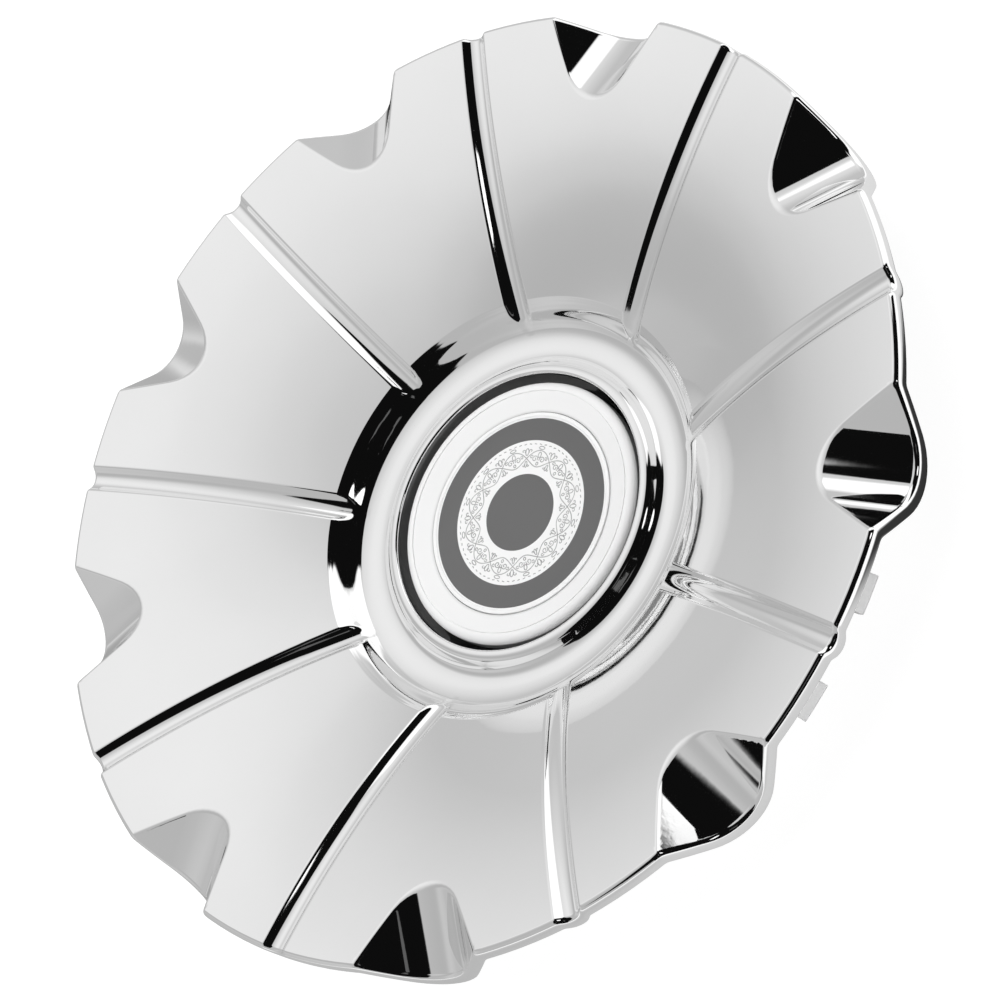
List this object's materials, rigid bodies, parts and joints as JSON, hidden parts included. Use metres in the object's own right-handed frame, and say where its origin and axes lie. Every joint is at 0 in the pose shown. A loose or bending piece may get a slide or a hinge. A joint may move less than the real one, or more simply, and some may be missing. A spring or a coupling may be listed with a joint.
{
  "type": "wheel centre cap",
  "caption": "Dished round chrome wheel centre cap with radial grooves, scooped rim, stepped hub ring, satin insert and a round badge.",
  "frame": {"origin": "centre of the flat back of the hub, the cap's lowest face", "axes": "+Z along the wheel axis to the front of the cap; one radial groove lies along +X"},
  "size_m": [0.25, 0.25, 0.039],
  "materials": {
    "chrome_shell": "mirror-bright chrome plating on moulded ABS",
    "satin_insert": "satin white moulded plastic",
    "badge_face": "printed round badge, white and grey"
  },
  "bodies": {
    "root": {"cap_shell": "chrome_shell", "centre_insert": "satin_insert", "badge": "badge_face"}
  },
  "joints": []
}
